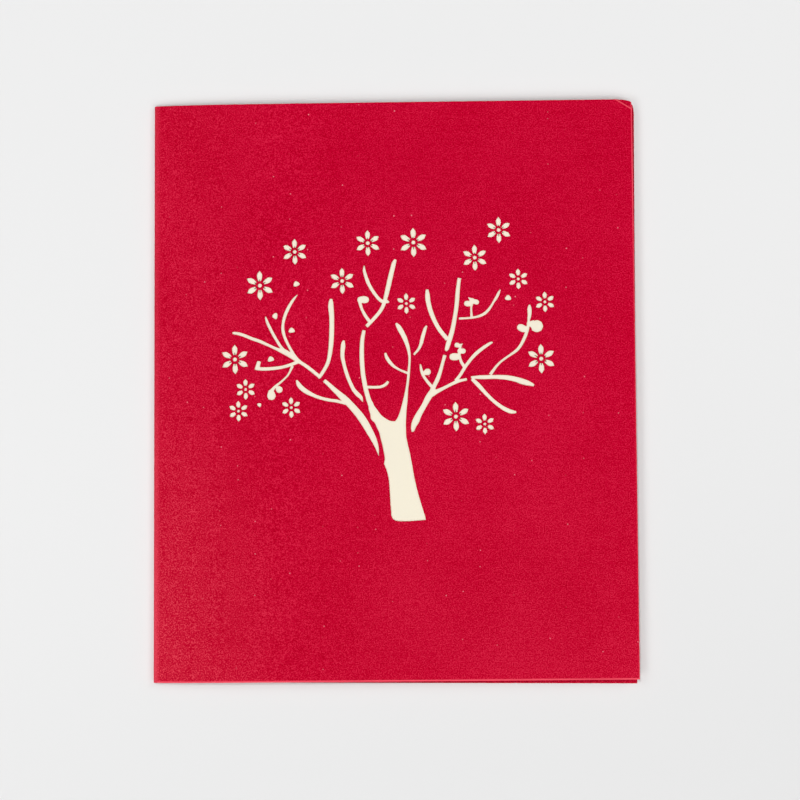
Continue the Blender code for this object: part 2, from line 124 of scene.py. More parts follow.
# %% [markdown]
# ## Node trees written as sums
#
# A node tree is easiest to read as arithmetic. A small class wraps a socket, and adding, multiplying or
# comparing two of them adds the Math node that does it. The same class serves the folding rule in Geometry
# Nodes and the finishes in shader nodes. Every other node comes from one method, which takes the node's
# type, its settings and the values or links of its sockets.

# %% Socket arithmetic


class Sum:
    """A number in a node tree. Arithmetic on it adds Math nodes."""

    def __init__(self, tree, socket):
        self.tree, self.socket = tree, socket

    def maths(self, operation, *values):
        return self.tree.add("ShaderNodeMath", {"operation": operation}, dict(enumerate(values)))

    def __add__(self, other):
        return self.maths("ADD", self, other)

    def __sub__(self, other):
        return self.maths("SUBTRACT", self, other)

    def __rsub__(self, other):
        return self.maths("SUBTRACT", other, self)

    def __mul__(self, other):
        return self.maths("MULTIPLY", self, other)

    def __truediv__(self, other):
        return self.maths("DIVIDE", self, other)

    def __lt__(self, other):
        return self.maths("LESS_THAN", self, other)

    def __gt__(self, other):
        return self.maths("GREATER_THAN", self, other)

    def __abs__(self):
        return self.maths("ABSOLUTE", self)

    __radd__, __rmul__ = __add__, __mul__

    def least(self, other):
        return self.maths("MINIMUM", self, other)

    def most(self, other):
        return self.maths("MAXIMUM", self, other)

    def sine(self):
        return self.maths("SINE", self)

    def cosine(self):
        return self.maths("COSINE", self)

    def exponent(self):
        return self.maths("EXPONENT", self)


print("arithmetic ready")

# %% One way to add a node


class Tree:
    """A node tree that starts empty."""

    def __init__(self, nodes_tree):
        self.tree = nodes_tree
        self.tree.nodes.clear()

    def add(self, kind, settings=None, inputs=None, output=0):
        """A new node. Its settings are set first, then the values and links of its sockets."""
        node = self.tree.nodes.new(kind)
        for name, value in (settings or {}).items():
            setattr(node, name, value)
        for place, value in (inputs or {}).items():
            if isinstance(value, Sum):
                self.tree.links.new(value.socket, node.inputs[place])
            else:
                node.inputs[place].default_value = value
        return Sum(self, node.outputs[output]) if node.outputs else node

    def output(self, value, place):
        """Another output of the node that gave a value."""
        return Sum(self, value.socket.node.outputs[place])

    def keep(self, geometry, value, domain):
        """Keeps a yes or no from before a shape changes. Gives the geometry and the kept answer."""
        node = self.tree.nodes.new("GeometryNodeCaptureAttribute")
        node.domain = domain
        node.capture_items.new("BOOLEAN", "kept")
        self.tree.links.new(geometry.socket, node.inputs["Geometry"])
        self.tree.links.new(value.socket, node.inputs["kept"])
        return Sum(self, node.outputs["Geometry"]), Sum(self, node.outputs["kept"])

    def parts(self, vector):
        """The three numbers of a vector."""
        first = self.add("ShaderNodeSeparateXYZ", {}, {0: vector})
        return first, self.output(first, 1), self.output(first, 2)

    def fade(self, value, start, end):
        """0 at start and 1 at end, with soft ends."""
        inputs = {"Value": value, "From Min": start, "From Max": end}
        return self.add("ShaderNodeMapRange", {"interpolation_type": "SMOOTHSTEP"}, inputs)

    def ramp(self, value, *stops):
        """A colour from a ramp of (place, colour) stops."""
        made = self.add("ShaderNodeValToRGB", {}, {0: value})
        ramp = made.socket.node.color_ramp
        for place, _ in stops[2:]:
            ramp.elements.new(place)
        for element, (place, colour) in zip(ramp.elements, stops):
            element.position = place
            element.color = (*colour, 1)
        return made

    def mix(self, share, colour, other):
        """From colour to other as share goes from 0 to 1."""
        def ready(value):
            return value if isinstance(value, Sum) else (*value, 1)
        inputs = {0: share, 6: ready(colour), 7: ready(other)}
        return self.add("ShaderNodeMix", {"data_type": "RGBA"}, inputs, output=2)


print("node helpers ready")

# %% Node groups and their inputs


def new_group(name, sizes, finishes):
    """A Geometry Nodes group that takes a shape, named sizes and named finishes."""
    group = bpy.data.node_groups.new(name, "GeometryNodeTree")
    socket = group.interface.new_socket
    socket("Geometry", in_out="INPUT", socket_type="NodeSocketGeometry")
    for size, value in sizes:
        socket(size, in_out="INPUT", socket_type="NodeSocketFloat").default_value = value
    for finish in finishes:
        socket(finish, in_out="INPUT", socket_type="NodeSocketMaterial")
    socket("Geometry", in_out="OUTPUT", socket_type="NodeSocketGeometry")
    return group


def set_input(modifier, name, value):
    """Sets a Geometry Nodes input through its socket's identifier."""
    for item in modifier.node_group.interface.items_tree:
        if item.name == name and item.in_out == "INPUT":
            modifier[item.identifier] = value


def settle(thing):
    """Turns an object's modifiers into a plain mesh."""
    bpy.context.view_layer.update()
    graph = bpy.context.evaluated_depsgraph_get()
    mesh = bpy.data.meshes.new_from_object(thing.evaluated_get(graph))
    thing.modifiers.clear()
    thing.data = mesh


def triangles(thing):
    return sum(len(face.vertices) - 2 for face in thing.data.polygons)


print("group helpers ready")

# %% [markdown]
# ## Reading the openings from the model
#
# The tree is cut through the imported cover, so its openings are there to be read. Each one is a closed loop of
# edges between the front panel's face and a cut wall. The loops are unfolded on to the flat blank, because
# the fine cover is cut flat and folded afterwards, as the real one is.

# %% Openings on the flat blank
same_place = 0.001 * mm
face_tilt, wall_tilt = 0.9, 0.3


def blank_of(points):
    """Places on the front panel, unfolded on to the cover's flat blank."""
    cos, sin = math.cos(fold_skew), math.sin(fold_skew)
    away = np.asarray(points, float)[:, :2] - (hinge.x, hinge.y)
    across = away[:, 0] * cos + away[:, 1] * sin
    up = -away[:, 0] * sin + away[:, 1] * cos
    return np.column_stack([-(across - spine_middle + quarter_turn * spine_middle), up])


def rim_neighbours(work):
    """For each corner on the openings' upper edges, the corners next to it."""
    nexts = {}
    for edge in work.edges:
        tilts = sorted(face.normal.z for face in edge.link_faces)
        one, other = edge.verts
        on_front = one.co.z > spine_middle
        if on_front and len(tilts) == 2 and tilts[1] > face_tilt and abs(tilts[0]) < wall_tilt:
            nexts.setdefault(one, []).append(other)
            nexts.setdefault(other, []).append(one)
    return nexts


def opening_loops(node):
    """Closed loops of the openings' upper edges."""
    work = bmesh.new()
    work.from_mesh(node.data)
    bmesh.ops.remove_doubles(work, verts=work.verts, dist=same_place)
    work.normal_update()
    nexts = rim_neighbours(work)
    loops, seen = [], set()
    for start in nexts:
        if start in seen:
            continue
        loop, here, before = [], start, None
        while here is not None and here not in seen:
            seen.add(here)
            loop.append(here)
            ways = [other for other in nexts[here] if other is not before]
            before, here = here, ways[0] if ways else None
        if here is start:
            loops.append(np.array([vertex.co for vertex in loop]))
    work.free()
    return loops


loops = [blank_of(loop) for loop in opening_loops(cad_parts["cover"])]
print("openings read:", len(loops))

# %% [markdown]
# ## Blossoms and loose petals
#
# The smallest openings are the blossoms' round middles. An opening of a petal's size that has no such middle
# near it is a loose petal, drifting from the tree. It helps to know them apart, because the loose petals are
# cut with softer corners than the strokes of the tree.

# %% Which opening is what
hole_reach = 0.9 * mm
petal_reach = 1.7 * mm
flower_reach = 3.6 * mm


def middle_and_reach(loop):
    """The middle of a loop and how far its points lie from it."""
    middle = loop.mean(axis=0)
    return middle, np.linalg.norm(loop - middle, axis=1).max()


def is_loose(middle, reach):
    """Whether an opening is a petal that has no blossom."""
    alone = min(np.linalg.norm(middle - hole) for hole in holes) > flower_reach
    return alone and reach < petal_reach


spots = [middle_and_reach(loop) for loop in loops]
holes = [middle for middle, reach in spots if reach < hole_reach]
print("blossoms:", len(holes), "loose petals:", sum(is_loose(*spot) for spot in spots))

# %% [markdown]
# ## The crumb of a cut
#
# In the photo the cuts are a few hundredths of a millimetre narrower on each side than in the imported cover.
# Fibres that a cut leaves standing would do that, and on a small petal it can be seen. So each loop is drawn
# in by such a crumb. A point moves along the line that halves the angle between its two edges, far enough
# that both edges come in alike. At a sharp tip the two directions inwards nearly cancel out, and the point
# would run away, so the square of their sum never counts as less than sharpest_tip.

# %% Drawn in
cut_crumb, hole_crumb = 0.045 * mm, 0.02 * mm
sharpest_tip = 0.6


def drawn_in(loop, crumb):
    """The loop, turned to run to the left, and made narrower all round by a crumb."""
    area = (loop[:, 0] * np.roll(loop[:, 1], -1) - loop[:, 1] * np.roll(loop[:, 0], -1)).sum()
    points = loop if area > 0 else loop[::-1]
    ahead = np.roll(points, -1, axis=0) - points
    ahead /= np.linalg.norm(ahead, axis=1)[:, None]
    inward = np.column_stack([-ahead[:, 1], ahead[:, 0]])
    both = inward + np.roll(inward, 1, axis=0)
    return points + both * 2 * crumb / (both ** 2).sum(axis=1).clip(sharpest_tip)[:, None]


crumbs = [hole_crumb if reach < hole_reach else cut_crumb for _, reach in spots]
loops = [drawn_in(loop, crumb) for loop, crumb in zip(loops, crumbs)]
print("drawn in by at most, mm:", round(max(crumbs) / mm, 3))

# %% [markdown]
# ## Rounding the openings
#
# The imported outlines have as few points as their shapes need. A cutter runs through them in one smooth line,
# so here each stroke becomes a curve: it bends evenly through the shallow points, the crotches and the petal
# tips stay sharp, and the blunt ends of the twigs get the cutter's small radius. A loose petal is worn round
# another way: it is walked in even steps, and each place is drawn toward its neighbours a few times.

# %% Smooth strokes
straight_turn = math.radians(0.8)
corner_turn = math.radians(44)
curve_step = 0.22 * mm
fewest_steps, most_steps = 2, 8


def turns_of(points):
    """The turn at each point of a closed loop, in radians, positive to the left."""
    ahead = np.roll(points, -1, axis=0) - points
    behind = points - np.roll(points, 1, axis=0)
    cross = behind[:, 0] * ahead[:, 1] - behind[:, 1] * ahead[:, 0]
    return np.arctan2(cross, (behind * ahead).sum(axis=1))


def smooth_line(points):
    """A curve through the points, straight into each corner: its places, with the turn at each corner."""
    turns = turns_of(points)
    corner = np.abs(turns) > corner_turn
    runs = np.linalg.norm(np.roll(points, -1, axis=0) - points, axis=1)
    slopes = (np.roll(points, -1, axis=0) - points) / runs[:, None]
    before, ahead = np.roll(runs, 1)[:, None], runs[:, None]
    tangents = (np.roll(slopes, 1, axis=0) * ahead + slopes * before) / (before + ahead)
    line = []
    for this in range(len(points)):
        other = (this + 1) % len(points)
        start, end, run = points[this], points[other], runs[this]
        leave = slopes[this] if corner[this] else tangents[this]
        reach = slopes[this] if corner[other] else tangents[other]
        bent = abs(turns[this]) * (not corner[this]) + abs(turns[other]) * (not corner[other])
        curved_steps = int(np.clip(math.ceil(run / curve_step), fewest_steps, most_steps))
        steps = 1 if bent < straight_turn else curved_steps
        for step in range(steps):
            t = step / steps
            line.append((
                (1 + 2 * t) * (1 - t) ** 2 * start + t * (1 - t) ** 2 * run * leave
                + t * t * (3 - 2 * t) * end - t * t * (1 - t) * run * reach,
                turns[this] if step == 0 and corner[this] else 0.0,
            ))
    return line


print("shallowest corner, degrees:", round(math.degrees(corner_turn)))

# %% Rounded openings
tip_turn = math.radians(93)
cutter_radius = 0.28 * mm
sharp_radius = 0.06 * mm
corner_share = 0.42
soft_points, soft_rounds = 36, 9


def rounded(loop):
    """The loop as a cutter would follow it: smooth, with small radii at its corners."""
    line = smooth_line(loop[np.abs(turns_of(loop)) > straight_turn])
    places = np.array([place for place, _ in line])
    out = []
    for index, (place, turn) in enumerate(line):
        if not turn:
            out.append(place)
            continue
        behind, after = places[index - 1] - place, places[(index + 1) % len(line)] - place
        room = corner_share * min(np.linalg.norm(behind), np.linalg.norm(after))
        radius = cutter_radius if corner_turn < turn < tip_turn else sharp_radius
        cut = min(radius, room)
        near = place + behind / np.linalg.norm(behind) * cut
        far = place + after / np.linalg.norm(after) * cut
        out += [near, (near + 2 * place + far) / 4, far]
    return np.array(out)


def softened(loop):
    """The loop with its corners worn round: even steps along it, each drawn toward its two neighbours."""
    closed = np.vstack([loop, loop[:1]])
    runs = np.concatenate([[0], np.cumsum(np.linalg.norm(np.diff(closed, axis=0), axis=1))])
    steps = np.linspace(0, runs[-1], soft_points, endpoint=False)
    line = np.column_stack([np.interp(steps, runs, closed[:, side]) for side in (0, 1)])
    for _ in range(soft_rounds):
        line = (np.roll(line, 1, axis=0) + 2 * line + np.roll(line, -1, axis=0)) / 4
    return line


openings = [softened(loop) if is_loose(*spot) else rounded(loop) for loop, spot in zip(loops, spots)]
print("openings:", len(openings), "points:", sum(map(len, openings)))

# %% [markdown]
# ## A rule that folds paper
#
# Every sheet of the card follows one rule, so one Geometry Nodes tree folds them all. It takes a flat slab
# with its outer face at height 0 and wraps it round the spine. Close to the crease line the slab runs round a
# half circle. Beyond it the back half lies flat, and the front half climbs gently over what is inside. A
# place inside the slab keeps its depth, so the folded sheet has the same thickness all over. The sizes of
# the fold are the tree's inputs, and a sheet that lies deeper in the card only needs a different depth.
#
# The tree also turns the knocked corner down over its short curl.
#
# While the slab is still flat it is easy to tell a face from a cut edge: a face looks straight up or down.
# The tree keeps that answer, and after the folding it gives faces and cut edges their two finishes.

# %% The folding rule
fold_sizes = (
    ("Depth", 0.0),
    ("Spine Thickness", spine_thickness),
    ("Rise", closed_rise),
    ("Rise Length", rise_length),
    ("Rise Reach", rise_reach),
    ("Skew", fold_skew),
    ("Corner Angle", corner_angle),
    ("Corner Curl", corner_curl),
)


def round_the_spine(size, along, inward):
    """How far across and how high a place comes to lie, and whether it is on the front."""
    middle = size["Spine Thickness"] / 2
    radius = middle - size["Depth"]
    turn = (along / radius).least(quarter_turn).most(-quarter_turn)
    way = (abs(along) - radius * quarter_turn).most(0.0)
    across = middle + way - (radius - inward) * turn.cosine()
    settled = 1 - (way * -1 / size["Rise Length"]).exponent()
    whole = 1 - (size["Rise Reach"] * -1 / size["Rise Length"]).exponent()
    front = along < 0.0
    climb = front * size["Rise"] * (settled / whole).least(1.0)
    return across, middle - (radius - inward) * turn.sine() + climb, front


def down_at_the_corner(size, across, up, high, front):
    """The same place with the knocked corner turned down: round the curl, then straight on."""
    beyond = (across * crease_across + up * crease_up - crease_start).most(0.0) * front
    curl = size["Corner Curl"] / size["Corner Angle"]
    bent = beyond.least(size["Corner Curl"])
    straight = beyond - bent
    reach = curl * (bent / curl).sine() + straight * size["Corner Angle"].cosine()
    drop = curl * (1 - (bent / curl).cosine()) + straight * size["Corner Angle"].sine()
    moved = reach - beyond
    return across + crease_across * moved, up + crease_up * moved, high - drop


print("sizes of the fold:", len(fold_sizes))

# %% The folding tree
looks_up = 0.5


def fold_tree():
    group = new_group("fold_sheet", fold_sizes, ("Face Finish", "Edge Finish"))
    tree = Tree(group)
    given = tree.add("NodeGroupInput")
    size = {name: tree.output(given, name) for name, _ in fold_sizes}
    facing = tree.parts(tree.add("GeometryNodeInputNormal"))
    slab, is_face = tree.keep(tree.output(given, "Geometry"), abs(facing[2]) > looks_up, "FACE")
    along, up, inward = tree.parts(tree.add("GeometryNodeInputPosition"))
    across, high, front = round_the_spine(size, along, inward)
    across, up, high = down_at_the_corner(size, across, up, high, front)

    # Square to the back panel
    cos, sin = size["Skew"].cosine(), size["Skew"].sine()
    folded = tree.add("ShaderNodeCombineXYZ", {}, {
        0: across * cos - up * sin + hinge.x,
        1: across * sin + up * cos + hinge.y,
        2: high,
    })
    moved = tree.add("GeometryNodeSetPosition", {}, {"Geometry": slab, "Position": folded})
    real = tree.add("GeometryNodeRealizeInstances", {}, {"Geometry": moved})
    edged = tree.add("GeometryNodeSetMaterial", {}, {
        "Geometry": real,
        "Material": tree.output(given, "Edge Finish"),
    })
    finished = tree.add("GeometryNodeSetMaterial", {}, {
        "Geometry": edged,
        "Selection": is_face,
        "Material": tree.output(given, "Face Finish"),
    })
    tree.add("NodeGroupOutput", {}, {0: finished})
    return group


folding = fold_tree()
print("folding tree nodes:", len(folding.nodes))

# %% Folding a slab


def fold_up(sheet, deep, face_finish, edge_finish, bent_corner):
    """Folds a flat slab and gives it its finishes.

    Without the bent corner, the curl is as long as the page, which leaves the corner all but flat.
    """
    fold = sheet.modifiers.new("fold", "NODES")
    fold.node_group = folding
    set_input(fold, "Depth", deep)
    set_input(fold, "Face Finish", face_finish)
    set_input(fold, "Edge Finish", edge_finish)
    if not bent_corner:
        set_input(fold, "Corner Curl", page_height)
    settle(sheet)


print("folds with:", folding.name)

# %% [markdown]
# ## Flat blanks
#
# A blank is a flat shape with holes. A two-dimensional curve does this with no effort: it fills what lies
# between its outer spline and the splines inside it. The shape is then sliced wherever it has to bend,
# because only an edge can bend. A Solidify modifier gives it its thickness while it is still flat, where
# every wall comes out square. The folding tree comes after it.

# %% Cutting a blank
join_distance = 0.0005 * mm


def filled(name, loops):
    """A flat mesh between an outline and its holes."""
    curve = bpy.data.curves.new(name, "CURVE")
    curve.dimensions = "2D"
    curve.fill_mode = "BOTH"
    for loop in loops:
        spline = curve.splines.new("POLY")
        spline.points.add(len(loop) - 1)
        for point, place in zip(spline.points, loop):
            point.co = (place[0], place[1], 0, 1)
        spline.use_cyclic_u = True
    holder = bpy.data.objects.new(name, curve)
    bpy.context.scene.collection.objects.link(holder)
    bpy.context.view_layer.update()
    graph = bpy.context.evaluated_depsgraph_get()
    mesh = bpy.data.meshes.new_from_object(holder.evaluated_get(graph))
    bpy.data.objects.remove(holder, do_unlink=True)
    return mesh


def flat_blank(name, loops, cuts):
    """A blank that is sliced where it bends, facing down, as a mesh object."""
    mesh = filled(name, loops)
    work = bmesh.new()
    work.from_mesh(mesh)
    bmesh.ops.remove_doubles(work, verts=work.verts, dist=join_distance)
    for place, normal in cuts:
        geometry = [*work.verts, *work.edges, *work.faces]
        bmesh.ops.bisect_plane(work, geom=geometry, dist=join_distance, plane_co=place, plane_no=normal)
    bmesh.ops.dissolve_degenerate(work, edges=work.edges, dist=join_distance)
    bmesh.ops.triangulate(work, faces=[face for face in work.faces if len(face.verts) > 4])
    work.normal_update()
    bmesh.ops.reverse_faces(work, faces=[face for face in work.faces if face.normal.z > 0])
    work.to_mesh(mesh)
    work.free()
    blank = bpy.data.objects.new(name, mesh)
    bpy.context.scene.collection.objects.link(blank)
    return blank


def thicken(sheet, thickness):
    """Gives a flat blank its thickness, inwards from its outer face."""
    wall = sheet.modifiers.new("thickness", "SOLIDIFY")
    wall.thickness = thickness
    wall.offset = -1
    wall.use_even_offset = False


print("points that are joined lie within, mm:", join_distance / mm)

# %% Where a blank bends
spine_lines, rise_lines, cross_lines, curl_lines = 17, 27, 13, 5
rise_crowding = 1.7


def half_arc(deep):
    """Half the sheet's way round the spine, at a depth in the card."""
    return quarter_turn * (spine_middle - deep)


def bend_cuts(deep, low, high):
    """Slices where a sheet bends: fine round the spine, ever further apart up the front, a few across."""
    arc = half_arc(deep)
    lines = list(np.linspace(-arc, arc, spine_lines))
    shares = np.linspace(0, 1, rise_lines)[1:]
    lines += [-(arc + rise_reach * share ** rise_crowding) for share in shares]
    cuts = [((line, 0, 0), (1, 0, 0)) for line in lines]
    return cuts + [((0, line, 0), (0, 1, 0)) for line in np.linspace(low, high, cross_lines)[1:-1]]


def corner_cuts():
    """Slices along the curl of the knocked corner."""
    cuts = []
    for share in np.linspace(0, 1, curl_lines):
        start = crease_start + corner_curl * share
        place = (-(start / crease_across - spine_middle + half_arc(0.0)), 0, 0)
        cuts.append((place, (-crease_across, crease_up, 0)))
    return cuts


cover_cuts = bend_cuts(0.0, 0, page_height) + corner_cuts()
print("slices of the cover:", len(cover_cuts))

# %% The cover's outline
corner_points = 12


def turned(points, angle):
    points = np.array(points, float)
    cos, sin = math.cos(angle), math.sin(angle)
    across = points[:, 0] * cos - points[:, 1] * sin
    up = points[:, 0] * sin + points[:, 1] * cos
    return np.column_stack([across, up])


def cover_outline():
    """The cover's blank, with its two worn upper corners as quarters of ellipses."""
    reach = page_width - spine_middle + half_arc(0.0)
    angles = np.linspace(0, quarter_turn, corner_points)
    quarter = np.column_stack([np.cos(angles), np.sin(angles)]) - 1
    back = quarter * back_wear + (reach - back_pull, page_height + back_slant)
    front_tip = (-reach - front_overhang - edge_slant, page_height)
    front = quarter[::-1] * front_wear * (-1, 1) + front_tip
    corners = [(-reach - front_overhang, 0), (reach, 0), *back, (0, page_height), *front]
    return turned(corners, -fold_skew)


print("points of the cover's outline:", len(cover_outline()))

# %% [markdown]
# ## Noise, and how a finish starts and ends
#
# A flat colour would look like plastic, and a painted picture would not scale. So each thing that can be seen
# on card or paper is its own small noise on Object coordinates, at its real size, and they are added up. All
# finishes start with those coordinates and end in one shader, so two helpers do that.

# %% Helpers for every finish
noise_middle = 0.5


def grain(tree, vector, scale, detail=2.0, rough=0.5):
    """Noise between 0 and 1, with this many cells to a metre."""
    values = {"Vector": vector, "Scale": scale, "Detail": detail, "Roughness": rough}
    return tree.add("ShaderNodeTexNoise", {}, values)


def drawn_grain(tree, place, cells, detail, rough=0.5):
    """Noise drawn out one way, with these many cells to a metre across and up."""
    stretched = tree.add("ShaderNodeMapping", {}, {"Vector": place, "Scale": (*cells, 1.0)})
    return grain(tree, stretched, 1.0, detail, rough)


def new_finish(name):
    """A new material, its node tree and its Object coordinates."""
    material = bpy.data.materials.new(name)
    material.use_nodes = True
    tree = Tree(material.node_tree)
    return material, tree, tree.output(tree.add("ShaderNodeTexCoord"), "Object")


def end_finish(tree, inputs):
    """Ends a material in a shader with these inputs."""
    shader = tree.add("ShaderNodeBsdfPrincipled", {}, inputs)
    tree.add("ShaderNodeOutputMaterial", {}, {"Surface": shader})


def relief(tree, strength, distance, height):
    """Small ups and downs in a surface, as a normal."""
    return tree.add("ShaderNodeBump", {}, {"Strength": strength, "Distance": distance, "Height": height})


print("finish helpers ready")

# %% [markdown]
# ## Pearly red card
#
# The cover is a deep red card with a pearl finish. From above it is almost one colour, but never quite: there
# is a fine mottle in the surface, with soft cloudy patches and faint streaks across the sheet. The mottle is
# the strongest of them, and it also moves the gloss and the relief a little. A ramp turns their sum into a
# colour, and a second ramp gives a lighter copy of the same card, for a painted sheen.

# %% Tones of the red
deep_red = (0.428, 0.0000, 0.0125)
card_red = (0.540, 0.0000, 0.0262)
hazy_red = (0.682, 0.0122, 0.0540)
# A lighter copy of the tones, for the painted sheen towards the lower left
sheen_deep = (0.485, 0.0000, 0.0210)
sheen_red = (0.610, 0.0140, 0.0420)
sheen_pale = (0.760, 0.0630, 0.0930)
tone_places = (0.15, 0.50, 0.85)
mottle_cells, patch_cells, cloud_cells, streak_cells = 2700.0, 420.0, 30.0, (70.0, 1500.0)
mottle_weight, patch_weight, cloud_weight, streak_weight = 2.0, 0.25, 0.30, 0.2


def red_noises(tree, place):
    """The mottle, the patches, the clouds and the streaks of the card."""
    mottle = grain(tree, place, mottle_cells, detail=1.0)
    patch = grain(tree, place, patch_cells)
    cloud = grain(tree, place, cloud_cells)
    return mottle, patch, cloud, drawn_grain(tree, place, streak_cells, detail=2.0)


def red_tones(tree, noises):
    """The card's colour, clear and as a lighter copy for the painted sheen."""
    weights = (mottle_weight, patch_weight, cloud_weight, streak_weight)
    parts = ((noise - noise_middle) * weight for noise, weight in zip(noises, weights))
    tone = sum(parts) + noise_middle
    clear = tree.ramp(tone, *zip(tone_places, (deep_red, card_red, hazy_red)))
    return clear, tree.ramp(tone, *zip(tone_places, (sheen_deep, sheen_red, sheen_pale)))


print("tones of red: 2 ramps of", len(tone_places))

# %% [markdown]
# ## Painted sheen, and the pale crown of the fold
#
# The card is painted lighter and hazier towards the lower left, where the sheet curves over the fold. This is a
# painted sheen, not a colour of the card. The fold itself is pale along its crown, most of all at its lower
# end: partly rubbed wear, partly a painted highlight on the round of the fold.

# %% Painted sheen
# Pale red of worn fibres, also used as a painted highlight on the fold, the edges and the crease
wear_and_highlight_red = (0.880, 0.080, 0.125)
# How far and how strongly the painted sheen reaches
sheen_across, sheen_up = 45 * mm, 110 * mm
fold_sheen, low_fold_sheen, low_sheen = 0.2, 0.8, 0.2
sheen_floor, sheen_mottle, sheen_cloud, sheen_strength = 0.4, 0.6, 0.4, 0.7
crown_line = hinge.x + hinge.y * math.tan(fold_skew)
crown_start, crown_end = 2.4 * mm, 0.3 * mm
crown_wear_and_highlight, low_crown_wear_and_highlight = 0.22, 0.34


def painted_sheen_on(tree, x, low, mottle, cloud):
    """How strongly a place is painted with sheen, uneven with the mottle and the clouds."""
    from_fold = tree.fade(x, hinge.x + sheen_across, hinge.x)
    reach = from_fold * (fold_sheen + low_fold_sheen * low) + low_sheen * low
    return reach * (sheen_floor + mottle * sheen_mottle + cloud * sheen_cloud)


def fold_wear_and_highlight(tree, x, y, low):
    """How pale the crown of the fold is: partly rubbed wear, partly a painted highlight."""
    from_edge = x + y * math.tan(fold_skew)
    crown = tree.fade(from_edge, crown_line + crown_start, crown_line + crown_end)
    return crown * (crown_wear_and_highlight + low_crown_wear_and_highlight * low)


print("haze reaches from the fold, mm:", round(sheen_across / mm))

# %% [markdown]
# ## Specks, and pale edges and crease
#
# A few pale specks lie on the card. Each is the middle of a Voronoi cell, and only a few cells have one.
# The front panel is pale along its lower edge and its fore-edge. Part of it is bruising, because the colour
# lies on the surface and the fibres under it are lighter, and part is a painted highlight where the cut edge
# would catch the light. How far a place is from an edge is measured from the line of that edge. The crease
# of the knocked corner has a pale line for both reasons: bared fibres and a painted highlight.

# %% Specks
speck_pink = (0.900, 0.240, 0.300)
speck_cells = 186.0
speck_chance = (0.84, 1.0)
speck_rim = (0.050, 0.022)
speck_strength, most_hidden = 0.9, 0.8


def specks(tree, place, sheen):
    """Pale specks, fainter under the painted sheen."""
    settings, inputs = {"voronoi_dimensions": "2D"}, {"Vector": place, "Scale": speck_cells}
    cells = tree.add("ShaderNodeTexVoronoi", settings, inputs)
    chance = tree.add("ShaderNodeSeparateColor", {}, {0: tree.output(cells, "Color")})
    rare = tree.fade(chance, *speck_chance)
    return tree.fade(cells, *speck_rim) * rare * (1 - sheen.least(most_hidden)) * speck_strength


print("cells to a metre, of which few hold a speck:", speck_cells)

# %% Edges: bruising and painted highlight
# Pale bands along the lower edge and fore-edge: wear and a painted highlight
bottom_wear_and_highlight = (0.62 * mm, 0.32 * mm)
side_wear_and_highlight = (0.50 * mm, 0.15 * mm)
side_wear_and_highlight_share, high_side_wear_and_highlight_share = 0.35, 0.55
side_wear_and_highlight_rise = (95 * mm, 165 * mm)
wear_and_highlight_cells, least_wear_and_highlight = 160.0, 0.5


def world_of(across, up, turn):
    """A place on a panel, given along its own edges from the lower end of the fold, in the frame."""
    place = turned([(across, up)], turn)[0]
    return hinge.x + place[0], hinge.y + place[1]


def left_of(x, y, start, end):
    """How far a place lies to the left of the line from start to end, in metres."""
    run = math.hypot(end[0] - start[0], end[1] - start[1])
    out = (-(end[1] - start[1]) / run, (end[0] - start[0]) / run)
    return x * out[0] + y * out[1] - (out[0] * start[0] + out[1] * start[1])


def edge_wear_and_highlight(tree, place, x, y):
    """How pale the front panel is along its lower edge and its fore-edge: bruising and a painted highlight."""
    panel_turn, out = 2 * fold_skew, page_width + front_overhang
    low_left, low_right = world_of(0, 0, panel_turn), world_of(out, 0, panel_turn)
    top_right = world_of(out + edge_slant, page_height, panel_turn)
    wear_and_highlight = least_wear_and_highlight + grain(tree, place, wear_and_highlight_cells)
    high = tree.fade(y, *(hinge.y + part for part in side_wear_and_highlight_rise))
    bottom = tree.fade(left_of(x, y, low_left, low_right), *bottom_wear_and_highlight) * wear_and_highlight
    side = tree.fade(left_of(x, y, low_right, top_right), *side_wear_and_highlight) * wear_and_highlight
    return bottom.most(side * (side_wear_and_highlight_share + high_side_wear_and_highlight_share * high))


print("bruise along the lower edge, mm:", round(bottom_wear_and_highlight[0] / mm, 2))

# %% Crease of the knocked corner
crease_rim = (0.30 * mm, 0.08 * mm)
crease_strength = 0.9


def crease(tree, x, y):
    """How pale the crease of the knocked corner is at a place: bared fibres and a painted highlight."""
    cos, sin = math.cos(fold_skew), math.sin(fold_skew)
    across = (x - hinge.x) * cos + (y - hinge.y) * sin
    up = (y - hinge.y) * cos - (x - hinge.x) * sin
    beyond = across * crease_across + up * crease_up - (crease_start + corner_curl / 2)
    return tree.fade(abs(beyond), *crease_rim) * crease_strength


print("width of the crease, mm:", round(2 * crease_rim[0] / mm, 2))

# %% The red card
pearl_glint = (1.000, 0.080, 0.220)
card_gloss, card_rough, mottle_rough = 0.03, 0.46, 0.16
fine_cells, fine_detail, fine_rough = 2600.0, 3.0, 0.6
mottle_relief, fine_relief, streak_relief = 0.6, 0.5, 0.15
card_relief = (0.22, 0.05 * mm)


